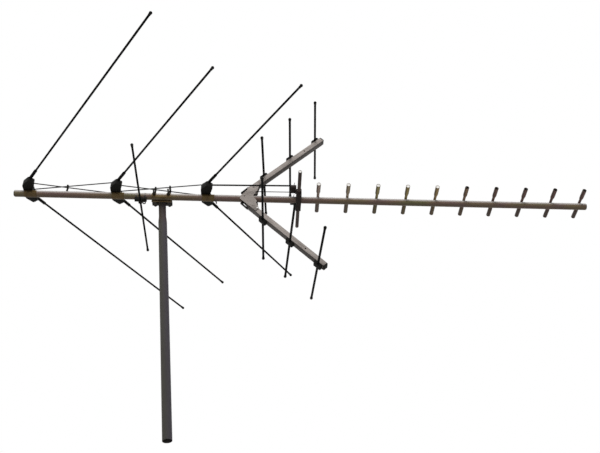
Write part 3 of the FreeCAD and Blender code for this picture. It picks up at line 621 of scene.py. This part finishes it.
# %% [markdown]
# A moulding or a pressing never has a knife edge. The frame's solids are left alone, so a copy of each
# such piece is merged, cleaned to flat faces and given a small bevel, and then stands for the solid.

# %% Soft edges for mouldings and pressings
BEVEL_SEGMENTS = 2
BEVEL_ANGLE = math.radians(30)


def take(piece):
    """Make a piece the only selected and the active one."""
    deselect()
    piece.select_set(True)
    bpy.context.view_layer.objects.active = piece


def apply_bevel(piece, width):
    """Round over the sharp edges of a piece, by a width in millimetres."""
    bevel = piece.modifiers.new("soft_edges", "BEVEL")
    bevel.width = width * MM
    bevel.segments = BEVEL_SEGMENTS
    bevel.limit_method = "ANGLE"
    bevel.angle_limit = BEVEL_ANGLE
    take(piece)
    bpy.ops.object.modifier_apply(modifier=bevel.name)


def smooth(piece, angle=35):
    take(piece)
    bpy.ops.object.shade_smooth_by_angle(angle=math.radians(angle))


def cut_away(piece, point, normal, fill=True):
    """Cut a piece by a plane; what the normal points at goes."""
    take(piece)
    bpy.ops.object.mode_set(mode="EDIT")
    bpy.ops.mesh.select_all(action="SELECT")
    bpy.ops.mesh.bisect(plane_co=point, plane_no=normal, use_fill=fill, clear_outer=True)
    bpy.ops.object.mode_set(mode="OBJECT")


def copy_of(name):
    """Merged copy of a frame node, cleaned to flat faces."""
    take(NODES[name])
    bpy.ops.object.duplicate(linked=False)
    piece = bpy.context.object
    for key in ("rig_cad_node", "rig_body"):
        del piece[key]
    piece.name = name + "_soft"
    bpy.ops.object.mode_set(mode="EDIT")
    bpy.ops.mesh.select_all(action="SELECT")
    bpy.ops.mesh.remove_doubles(threshold=0.00001)
    bpy.ops.mesh.dissolve_limited(angle_limit=math.radians(1))
    bpy.ops.object.mode_set(mode="OBJECT")
    return piece


def stand_in(piece, name, width):
    """Round over the edges of a copy, and let it stand for its node."""
    apply_bevel(piece, width)
    smooth(piece)
    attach(piece, "antenna")
    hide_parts(name)
    return piece


def softened(name, width, cuts=()):
    """Copy of a frame node with its sharp edges rounded over, after any cuts."""
    piece = copy_of(name)
    for point, normal in cuts:
        cut_away(piece, point, normal)
    return stand_in(piece, name, width)


SOFT_EDGES = {
    "rear_insulator": 0.8,
    "middle_insulator": 0.8,
    "front_insulator": 0.8,
    "dipole_housing": 1.0,
    "feed_block_near": 0.8,
    "feed_block_far": 0.8,
    "arm_caps": 0.5,
    "reflector_grips": 0.7,
    "clamp_mast_saddle": 0.4,
    "clamp_mast_jaw": 0.35,
    "boom_caps": 0.8,
}
soft_faces = sum(len(softened(name, width).data.polygons) for name, width in SOFT_EDGES.items())
print("softened:", len(SOFT_EDGES), "pieces,", soft_faces, "faces")

# %% [markdown]
# At the corner the two arms are held between thin pressed plates. The arms are sawn square a little way out
# from where their axes meet, so each copy is cut there by a plane.

# %% Arms
CORNER = (294.0, 3.0)
ARM_SAWN = 47.0
ARM_EDGE = 0.6
SIGNS = {"upper": 1, "lower": -1}


def arm_axes(level):
    """Axes at the corner: along the arm, across, and out of its outer face."""
    sign = SIGNS[level]
    turn = Matrix.Rotation(-sign * ARM_ANGLE, 4, "Y")
    flip = Matrix.Rotation(math.pi, 4, "X") if sign < 0 else Matrix.Identity(4)
    return Matrix.Translation(on_boom(CORNER[0], 0, CORNER[1])) @ BOOM_TURN @ turn @ flip


for level in SIGNS:
    axes = arm_axes(level)
    inwards = axes.to_3x3() @ Vector((-1, 0, 0))
    softened(f"{level}_arm", ARM_EDGE, [(axes @ Vector((ARM_SAWN * MM, 0, 0)), inwards)])
print("arms sawn", ARM_SAWN, "mm from the corner")

# %% [markdown]
# Each hub plate narrows to a blunt nose on the boom. The solid's nose is plainer, so the corners of a copy
# are dragged by a few millimetres, as one would by hand.

# %% Hub plates
PLATE_EDGE = 0.4
PULL_REACH = 2.0
NOSE_TOP = (294.0, 15.02)
NOSE_FOOT = (294.0, -9.02)
NOSE_PULLS = {
    "near": [(NOSE_TOP, (4.0, -9.0)), (NOSE_FOOT, (0.0, -2.0))],
    "far": [(NOSE_TOP, (4.0, -9.0)), (NOSE_FOOT, (8.0, 8.0))],
}


def select_by(kind):
    """Let edit mode work on vertices or on faces."""
    bpy.context.tool_settings.mesh_select_mode = (kind == "VERT", False, kind == "FACE")


def plain_select(piece):
    """Leave nothing selected inside a piece."""
    for group in (piece.data.vertices, piece.data.edges, piece.data.polygons):
        group.foreach_set("select", [False] * len(group))


def pull(piece, corner, by):
    """Drag the corner of a plate, given by its place along and above the boom, in millimetres."""
    take(piece)
    to_boom = BOOM.inverted()
    for vertex in piece.data.vertices:
        here = to_boom @ vertex.co / MM
        vertex.select = math.hypot(here.x - corner[0], here.z - corner[1]) < PULL_REACH
    select_by("VERT")
    bpy.ops.object.mode_set(mode="EDIT")
    bpy.ops.transform.translate(value=BOOM.to_3x3() @ Vector((by[0] * MM, 0, by[1] * MM)))
    bpy.ops.object.mode_set(mode="OBJECT")


for side, pulls in NOSE_PULLS.items():
    plate = copy_of(f"hub_plate_{side}")
    plain_select(plate)
    for corner, by in pulls:
        pull(plate, corner, by)
    stand_in(plate, f"hub_plate_{side}", PLATE_EDGE)
    print("hub plate", side, "faces", len(plate.data.polygons))

# %% [markdown]
# The clamp's front plate is a pressed channel with an ear round each bolt. The solid is a plain channel, so
# the copy is carved between and beyond the ears by blocks, as a press tool would nibble it.

# %% Clamp front plate
CARVE_LOW = -4.7
CARVE_BACK = -11.0
EAR_INSIDE = 19.0
EAR_OUTSIDE = 35.0
CARVE_REACH = 60.0


def carve(piece, low, high):
    """Take a block, given by two corners in the boom's axes, out of a piece."""
    deselect()
    bpy.ops.mesh.primitive_cube_add(size=1)
    block = bpy.context.object
    middle = (Vector(low) + Vector(high)) / 2
    block.matrix_world = Matrix.Translation(on_boom(*middle)) @ BOOM_TURN
    block.scale = (Vector(high) - Vector(low)) * MM
    cut = piece.modifiers.new("carve", "BOOLEAN")
    cut.operation = "DIFFERENCE"
    cut.object = block
    take(piece)
    bpy.ops.object.modifier_apply(modifier=cut.name)
    bpy.data.objects.remove(block)


front_plate = copy_of("clamp_front_plate")
for x_low, x_high in ((-CARVE_REACH, -EAR_OUTSIDE), (-EAR_INSIDE, EAR_INSIDE), (EAR_OUTSIDE, CARVE_REACH)):
    carve(front_plate, (x_low, -CARVE_REACH, CARVE_LOW), (x_high, CARVE_BACK, CARVE_REACH))
stand_in(front_plate, "clamp_front_plate", PLATE_EDGE)
print("front plate faces:", len(front_plate.data.polygons))

# %% [markdown]
# The posts that keep the crossing wires apart are slim fingers. Each keeps its place and height, and only its
# width along the boom is squeezed, towards its own middle.

# %% Wire posts
POST_SQUEEZE = 0.62
POST_EDGE = 0.4


def islands(piece):
    """Loose parts of a mesh, as lists of vertex numbers."""
    parent = list(range(len(piece.data.vertices)))

    def root(i):
        while parent[i] != i:
            i = parent[i]
        return i

    for edge in piece.data.edges:
        parent[root(edge.vertices[0])] = root(edge.vertices[1])
    groups = {}
    for i in range(len(parent)):
        groups.setdefault(root(i), []).append(i)
    return list(groups.values())


posts = copy_of("wire_standoffs")
select_by("VERT")
post_groups = islands(posts)
for group in post_groups:
    plain_select(posts)
    middle = sum((posts.data.vertices[i].co for i in group), Vector()) / len(group)
    for i in group:
        posts.data.vertices[i].select = True
    take(posts)
    bpy.ops.object.mode_set(mode="EDIT")
    bpy.ops.transform.resize(value=(POST_SQUEEZE, 1, 1), center_override=middle)
    bpy.ops.object.mode_set(mode="OBJECT")
stand_in(posts, "wire_standoffs", POST_EDGE)
print("wire posts:", len(post_groups))

# %% [markdown]
# The clip of the straight rod is a narrow block under the boom, so its copy loses both cheeks beside the
# tube. Two thin aluminium bands carry it, and are made later with the straps.

# %% Rod clip
CLIP_SIDE = 7.0
CLIP_EDGE = 0.8
clip_cuts = [(on_boom(0, side * CLIP_SIDE, 0), across * side) for side in (-1, 1)]
softened("straight_rod_clip", CLIP_EDGE, clip_cuts)
print("rod clip cut to", 2 * CLIP_SIDE, "mm across")

# %% [markdown]
# Caps, rivets, pins and tubes are all drawn shapes. Each starts as a flat circle and is drawn up by extrude,
# move and resize, like a potter's pot. Numbers are in millimetres, as a maker would write them.

# %% Drawn pieces
def drawn(name, sides, rings, filled=True):
    """Piece drawn up +Z from rings of (half width, half depth, height) in millimetres."""
    deselect()
    fill = "NGON" if filled else "NOTHING"
    bpy.ops.mesh.primitive_circle_add(vertices=sides, radius=MM, fill_type=fill)
    piece = bpy.context.object
    piece.name = name
    select_by("VERT")
    bpy.ops.object.mode_set(mode="EDIT")
    bpy.ops.mesh.select_all(action="SELECT")
    wide, deep, high = 1.0, 1.0, 0.0
    for step, ring in enumerate(rings):
        lift = {"value": (0, 0, (ring[2] - high) * MM)}
        if step:
            bpy.ops.mesh.extrude_region_move(TRANSFORM_OT_translate=lift)
        else:
            bpy.ops.transform.translate(**lift)
        share = (ring[0] / wide, ring[1] / deep, 1)
        bpy.ops.transform.resize(value=share, center_override=(0, 0, ring[2] * MM))
        wide, deep, high = ring
    bpy.ops.mesh.select_all(action="SELECT")
    bpy.ops.mesh.remove_doubles(threshold=0.000002)
    bpy.ops.mesh.normals_make_consistent(inside=False)
    bpy.ops.object.mode_set(mode="OBJECT")
    return piece


def turned(name, sides, profile, filled=True):
    """Piece of revolution about +Z from (radius, height) steps in millimetres."""
    return drawn(name, sides, [(radius, radius, height) for radius, height in profile], filled)


print("drawing tools: drawn, turned")

# %% [markdown]
# What repeats is drawn once and copied. Each copy has its own mesh, its place goes into that mesh, and the
# copies are joined as one set, which is named, dressed and set to ride on the antenna.

# %% Placing and dressing
def placed_once(piece, place):
    """Move a piece to its place, and put the place into its mesh."""
    take(piece)
    piece.matrix_world = place
    bpy.ops.object.transform_apply(location=True, rotation=True, scale=True)
    return piece


def placed(master, place):
    """Copy of a master with its own mesh, at its place."""
    take(master)
    bpy.ops.object.duplicate(linked=False)
    return placed_once(bpy.context.object, place)


def settle(piece, name, slot, finishes=None, angle=35):
    """Name a finished piece, dress it and let it ride on the antenna."""
    piece.name = name
    piece.data.name = name
    keys = finishes or [slot]
    while len(piece.data.materials) < len(keys):
        piece.data.materials.append(None)
    for index, key in enumerate(keys):
        piece.data.materials[index] = FINISHES[key]
    smooth(piece, angle)
    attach(piece, "antenna")
    return piece


def set_of(master, name, places, slot, finishes=None):
    """Copies of a master at each place, joined as one piece; the master is used up."""
    copies = [placed(master, place) for place in places]
    bpy.data.objects.remove(master)
    take(copies[0])
    for copy in copies:
        copy.select_set(True)
    if len(copies) > 1:
        bpy.ops.object.join()
    piece = settle(bpy.context.object, name, slot, finishes)
    print(name, "copies", len(places), "faces", len(piece.data.polygons))
    return piece


print("placing tools: placed_once, placed, settle, set_of")

# %% [markdown]
# The rods end in small black caps. Each is a cup over the rod's end, with a skirt that flares to a ball. The
# ends are read from the frame, and those near the boom are left bare.

# %% Rod tips
ROD_R = 3.75
ROD_BALL_R = 5.6
ROD_SKIRT = 9
REFLECTOR_R = 4.25
REFLECTOR_BALL_R = 5.9
REFLECTOR_SKIRT = 7
BORE_GAP = 0.05
CLEAR_OF_BOOM = 0.1


def outer_ends(*names):
    """Place and outward direction of the free ends of rods, as matrices."""
    places = []
    for name in names:
        ends = line_of(name)
        for here, other in (ends, ends[::-1]):
            if abs(here.y - boom_crossing.y) > CLEAR_OF_BOOM:
                places.append(pointing(here, here - other))
    return places


def ball_tip(rod_radius, ball_radius, skirt):
    """Cup whose skirt flares to a ball past the rod's end."""
    bore = rod_radius + BORE_GAP
    lip = bore + 0.5
    profile = [(bore, BORE_GAP), (bore, -skirt), (lip, -skirt), (lip + 0.2, -skirt * 0.5)]
    centre = ball_radius * 0.35
    for turn in range(-40, 90, 16):
        a = math.radians(turn)
        profile.append((ball_radius * math.cos(a), centre + ball_radius * math.sin(a)))
    return turned("tip", 20, profile)


swept = [f"{pair}_rod_{side}" for pair in ("rear", "middle", "front") for side in ("near", "far")]
reflectors = [f"{level}_reflector_rod_{i}" for level in ("upper", "lower") for i in (1, 2, 3)]
set_of(ball_tip(ROD_R, ROD_BALL_R, ROD_SKIRT), "rod_tips", outer_ends(*swept, "straight_rod"),
       "black_plastic")
set_of(ball_tip(REFLECTOR_R, REFLECTOR_BALL_R, REFLECTOR_SKIRT), "reflector_tips", outer_ends(*reflectors),
       "black_plastic")

# %% [markdown]
# A director is a short open tube whose middle is squeezed narrow and riveted across the boom. The round tube
# could be cut and bent, but drawing it ring by ring gives the squeeze directly: the rings near the boom are
# made narrow and low. The cut ends show bright metal inside, so the bore has a finish of its own.

# %% Directors
DIRECTORS = [f"director_{i}" for i in range(1, 11)]
LIE_ACROSS = Matrix.Rotation(-math.pi / 2, 4, "X")
TUBE_SIDES = 28
TUBE_ANGLE = 50
TUBE_R = 7.7
TUBE_HALF = 77.0
TUBE_WALL = 1.1
HALF_RINGS = [
    (TUBE_R, TUBE_R, TUBE_HALF),
    (TUBE_R, TUBE_R, 59.0),
    (TUBE_R, TUBE_R, 38.0),
    (7.5, 7.2, 35.0),
    (6.9, 6.3, 31.5),
    (6.0, 5.3, 28.0),
    (5.4, 4.7, 25.0),
    (5.25, 4.45, 22.0),
]


def middle_of(name):
    """Middle of a node's box."""
    low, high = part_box(name)
    return (Vector(low) + Vector(high)) / 2


def thicken(piece, wall, inner_slot=0):
    """Give an open tube its wall, inwards; its bore can take another finish."""
    shell = piece.modifiers.new("wall", "SOLIDIFY")
    shell.thickness = wall * MM
    shell.offset = -1
    shell.use_even_offset = True
    shell.material_offset = inner_slot
    while len(piece.data.materials) <= inner_slot:
        piece.data.materials.append(None)
    take(piece)
    bpy.ops.object.modifier_apply(modifier=shell.name)


def director_tube():
    """Open tube with a squeezed middle, drawn from one end to the other."""
    rings = [(wide, deep, -height) for wide, deep, height in HALF_RINGS] + HALF_RINGS[::-1]
    tube = drawn("director_tube", TUBE_SIDES, rings, filled=False)
    thicken(tube, TUBE_WALL, inner_slot=1)
    return tube


director_master = director_tube()
for name in DIRECTORS:
    tube = placed(director_master, Matrix.Translation(middle_of(name)) @ BOOM_TURN @ LIE_ACROSS)
    settle(tube, f"{name}_tube", "bronzed_aluminium", ["director_bronze", "bright_bore"], TUBE_ANGLE)
    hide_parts(name)
bpy.data.objects.remove(director_master)
print("directors:", len(DIRECTORS), "tubes of", len(tube.data.polygons), "faces")

# %% [markdown]
# The dipole's two halves are longer tubes of the same make, with the same bright bore at their cut ends.

# %% Dipole tubes
DIPOLE_R = 6.75
DIPOLE_WALL = 1.0
for name in ("dipole_half_near", "dipole_half_far"):
    root, tip = sorted(line_of(name), key=lambda end: abs(end.y - boom_crossing.y))
    length = (tip - root).length / MM
    profile = [(DIPOLE_R, 0), (DIPOLE_R, length / 2), (DIPOLE_R, length - 1), (DIPOLE_R - 0.3, length)]
    tube = turned("dipole_tube", TUBE_SIDES, profile, filled=False)
    thicken(tube, DIPOLE_WALL, inner_slot=1)
    placed_once(tube, pointing(root, tip - root))
    settle(tube, f"{name}_tube", "pale_aluminium", ["dipole_bronze", "bright_bore"], TUBE_ANGLE)
    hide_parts(name)
    print(name, "length", round(length), "mm")

# %% [markdown]
# Behind each arm a springy black bar stands off the hub: its cross piece is gripped between the two plates,
# a stem rises from it, and the bar runs out along the arm. One cube gives all three by cutting and extruding.

# %% Arm stops
STOP_AT = 21.0
STOP_FOOT = 7.0
STOP_REACH = 32.0
STOP_LIFT = 1.2
STOP_SPREAD = 12.85
STOP_EDGE = 0.5
CROSS_LOW = -3.0
CROSS_HIGH = 0.8
STEM_HALF = 4.5
BAR_LOW = 12.5
BAR_HIGH = 16.0


def pick_faces(piece, test):
    """Go into edit mode with only those faces selected whose middle and normal pass a test."""
    plain_select(piece)
    for face in piece.data.polygons:
        face.select = test(face.center / MM, face.normal)
    select_by("FACE")
    take(piece)
    bpy.ops.object.mode_set(mode="EDIT")


def draw_out(by):
    """Extrude the selected faces by a step in millimetres."""
    bpy.ops.mesh.extrude_region_move(TRANSFORM_OT_translate={"value": Vector(by) * MM})


def stop_bar():
    """Cross piece, stem and bar in the arm's axes."""
    deselect()
    middle = (STOP_AT + STOP_FOOT / 2, 0, (CROSS_LOW + CROSS_HIGH) / 2)
    bpy.ops.mesh.primitive_cube_add(size=MM, location=Vector(middle) * MM)
    piece = bpy.context.object
    piece.scale = (STOP_FOOT, 2 * STOP_SPREAD, CROSS_HIGH - CROSS_LOW)
    bpy.ops.object.transform_apply(location=True, rotation=True, scale=True)
    for side in (-1, 1):
        bpy.ops.object.mode_set(mode="EDIT")
        bpy.ops.mesh.select_all(action="SELECT")
        bpy.ops.mesh.bisect(plane_co=(0, side * STEM_HALF * MM, 0), plane_no=(0, 1, 0))
        bpy.ops.object.mode_set(mode="OBJECT")
    pick_faces(piece, lambda here, normal: normal.z > 0.9 and abs(here.y) < STEM_HALF)
    draw_out((0, 0, BAR_LOW - CROSS_HIGH))
    draw_out((0, 0, BAR_HIGH - BAR_LOW))
    bpy.ops.object.mode_set(mode="OBJECT")
    pick_faces(piece, lambda here, normal: normal.x > 0.9 and here.z > BAR_LOW)
    draw_out((STOP_REACH, 0, STOP_LIFT))
    bpy.ops.object.mode_set(mode="OBJECT")
    apply_bevel(piece, STOP_EDGE)
    return piece


stop_bars = set_of(stop_bar(), "arm_stop_bars", [arm_axes(level) for level in SIGNS], "black_plastic")
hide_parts("arm_stops")

# %% [markdown]
# Rivets hold the hub plates and the directors, and a bright pair shows low on the plates. All are domes from
# one profile.

# %% Rivets
PLATE_FACE = 14.85
NECK_TOP = 4.3
TOWARDS = {"near": -1, "far": 1}
HUB_RIVETS = [(345, 49), (345, -43), (312, 3)]
BRIGHT_RIVETS = [(362.5, -55.5)]


def rivet(radius, high):
    """Dome that stands on Z = 0."""
    profile = [(radius, 0), (radius, high * 0.4), (radius * 0.72, high * 0.85), (radius * 0.3, high)]
    return turned("rivet", 16, profile)


def on_plates(points):
    """Places on the outer faces of both hub plates, from points along and above the boom."""
    return [pointing(on_boom(x, out * PLATE_FACE, z), across * out)
            for out in TOWARDS.values() for x, z in points]


set_of(rivet(3.2, 2.0), "hub_rivets", on_plates(HUB_RIVETS), "pale_aluminium")
set_of(rivet(3.4, 2.2), "bright_rivets", on_plates(BRIGHT_RIVETS), "pale_aluminium", ["bright_bore"])
neck_tops = [pointing(middle_of(name) + boom_up * NECK_TOP * MM, boom_up) for name in DIRECTORS]
set_of(rivet(3.0, 2.0), "director_rivets", neck_tops, "pale_aluminium")

# %% [markdown]
# Under each moulded insulator a pressed strap goes round the belly of the boom. An open tube is drawn along
# the boom, its top is cut away by a plane, and the rest gets a wall outwards. The clip's bands are alike.

# %% Insulator straps
STRAP_R = 12.75
STRAP_LONG = 46.0
STRAP_TOP = 9.2
STRAP_WALL = 0.7
STRAP_XS = (-488.0, -162.5, 176.0)
BAND_LONG = 7.0
BAND_TOP = 12.0
BAND_WALL = 0.6
BAND_XS = (-93.0, -61.0)
LIE_ALONG = Matrix.Rotation(math.pi / 2, 4, "Y")


def strap(long, top, wall):
    """Lower part of a thin band round the boom, in the boom's own axes."""
    band = turned("strap", 48, [(STRAP_R, -long / 2), (STRAP_R, long / 2)], filled=False)
    placed_once(band, LIE_ALONG)
    cut_away(band, (0, 0, top * MM), (0, 0, 1), fill=False)
    thicken(band, -wall)
    return band


def along_boom(xs):
    """Places on the boom's axis."""
    return [BOOM @ Matrix.Translation((x * MM, 0, 0)) for x in xs]


set_of(strap(STRAP_LONG, STRAP_TOP, STRAP_WALL), "insulator_straps", along_boom(STRAP_XS), "yellow_zinc")
set_of(strap(BAND_LONG, BAND_TOP, BAND_WALL), "clip_bands", along_boom(BAND_XS), "pale_aluminium")

# %% [markdown]
# The near ends of the dipole and of the first directors look pale, where the bright bore reflects the sky.
# A painted reflection stands for it: a bright shallow dish with a rim just inside each cut tube, drawn from
# its skirt up over the rim to the middle of its face.

# %% Bright dishes, a painted reflection
GLINT_DISH_DEPTH = 2.0
GLINT_DIRECTORS = DIRECTORS[:5]


def dish(tube_radius, wall):
    """Shallow dish that looks up +Z from just under the end of its tube."""
    radius = tube_radius - wall - BORE_GAP
    face = -GLINT_DISH_DEPTH
    profile = [(radius, face - 3), (radius, face + 0.8), (radius - 0.7, face + 0.8), (radius - 1.4, face),
               (radius * 0.4, face - 0.4)]
    return turned("dish", 24, profile)


def near_end(name):
    """Matrix at a tube's near end, looking out of it."""
    near, far = sorted(line_of(name), key=lambda end: end.y)
    return pointing(near, near - far)


# Painted reflection: bright metal dishes make the tube ends look pale.
director_ends = [pointing(middle_of(name) - across * TUBE_HALF * MM, -across) for name in GLINT_DIRECTORS]
set_of(dish(TUBE_R, TUBE_WALL), "director_painted_glints", director_ends, "pale_aluminium", ["bright_bore"])
set_of(dish(DIPOLE_R, DIPOLE_WALL), "dipole_painted_glint", [near_end("dipole_half_near")], "pale_aluminium",
       ["bright_bore"])

# %% [markdown]
# Small things that a fitter's hand would find: a slim stud on each feed block, a ring on a stem at the
# rod clip and a peg under the boom. The black fingers at the horns of the hub are painted shade, dark pegs
# set where the notches fall into shadow. Each is drawn up from a circle and laid from one point to another,
# given along, across and above the boom.

# %% Shade fingers, studs, ring and peg
SHADE_FINGER_OUT = 13.9
SHADE_FINGERS = [((347, 9), (363, 11.5)), ((359, -27), (361.5, -36))]
STUD_OUT = 33
STUD = ((495, 30.5), (502, 59))
RING_X = -62
RING_LEVEL = -31.0
RING_INNER = 3.4
RING_OUTER = 6.6
RING_THICK = 3.0
STEM_RISE = 4.5
PEG_FOOT = (204, 0, -12)
PEG_TIP = (209, 0, -28)


def peg(low_radius, high_radius, long):
    """Tapered pin with a rounded top."""
    profile = [(low_radius, 0), (low_radius, 1), (high_radius, long - 1.2), (high_radius * 0.6, long)]
    return turned("peg", 12, profile)


def washer(inner, outer, thick):
    """Flat ring: its profile goes once round and closes on itself."""
    profile = [(inner, 0), (outer, 0), (outer, thick), (inner, thick), (inner, 0)]
    return turned("washer", 24, profile, filled=False)


def laid(start, end):
    """Matrix that lays a drawn piece from one point of the boom's axes to another."""
    first, last = on_boom(*start), on_boom(*end)
    return pointing(first, last - first)


def both_sides(out, start, end):
    """The same lay on the near and on the far side, from points along and above the boom."""
    return [laid((start[0], side * out, start[1]), (end[0], side * out, end[1])) for side in TOWARDS.values()]


shade_finger_places = [place for start, end in SHADE_FINGERS for place in both_sides(SHADE_FINGER_OUT, start, end)]
ring_place = laid((RING_X, RING_THICK / 2, RING_LEVEL), (RING_X, -RING_THICK / 2, RING_LEVEL))
stem_place = laid((RING_X, 0, RING_LEVEL + STEM_RISE), (RING_X, 0, 0))
# Painted shade: black pegs sit in the notches at the hub's horns, where shadow falls.
set_of(peg(3.0, 2.2, 16), "hub_shade_fingers", shade_finger_places, "black_plastic")
set_of(peg(1.6, 1.1, 29), "feed_studs", both_sides(STUD_OUT, *STUD), "dark_steel")
set_of(washer(RING_INNER, RING_OUTER, RING_THICK), "clip_ring", [ring_place], "dark_steel")
set_of(peg(2.4, 2.0, 16), "clip_stem", [stem_place], "dark_steel")
set_of(peg(3.0, 1.8, 17), "boom_peg", [laid(PEG_FOOT, PEG_TIP)], "dark_steel")

# %% [markdown]
